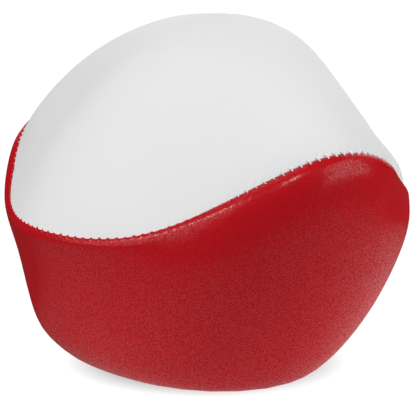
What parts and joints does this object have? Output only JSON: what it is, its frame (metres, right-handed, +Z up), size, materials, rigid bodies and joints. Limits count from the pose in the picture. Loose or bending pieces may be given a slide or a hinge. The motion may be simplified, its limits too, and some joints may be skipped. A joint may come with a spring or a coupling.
{
  "type": "footbag",
  "caption": "Soft red and white footbag of oval leatherette panels sewn a quarter turn apart along a wavy whip-stitched seam, filled with plastic pellets, for kicking aloft.",
  "frame": {"origin": "middle of the bag's box, on the surface that it rests on", "axes": "+Z up, X through the two dips of the seam line at the ends of the white panel, Y through its two crests at the ends of the red panel"},
  "size_m": [0.0516, 0.06, 0.0456],
  "materials": {
    "white_leatherette": "satin white leatherette with a fine grain",
    "red_leatherette": "satin red leatherette with a fine grain",
    "white_thread": "twisted white sewing thread",
    "pellet_plastic": "natural cut plastic granules"
  },
  "bodies": {
    "root": {"white_panel": "white_leatherette", "red_panel": "red_leatherette", "main_seam_thread": "white_thread", "closing_seam_thread": "white_thread", "pellet_fill": "pellet_plastic"}
  },
  "joints": []
}
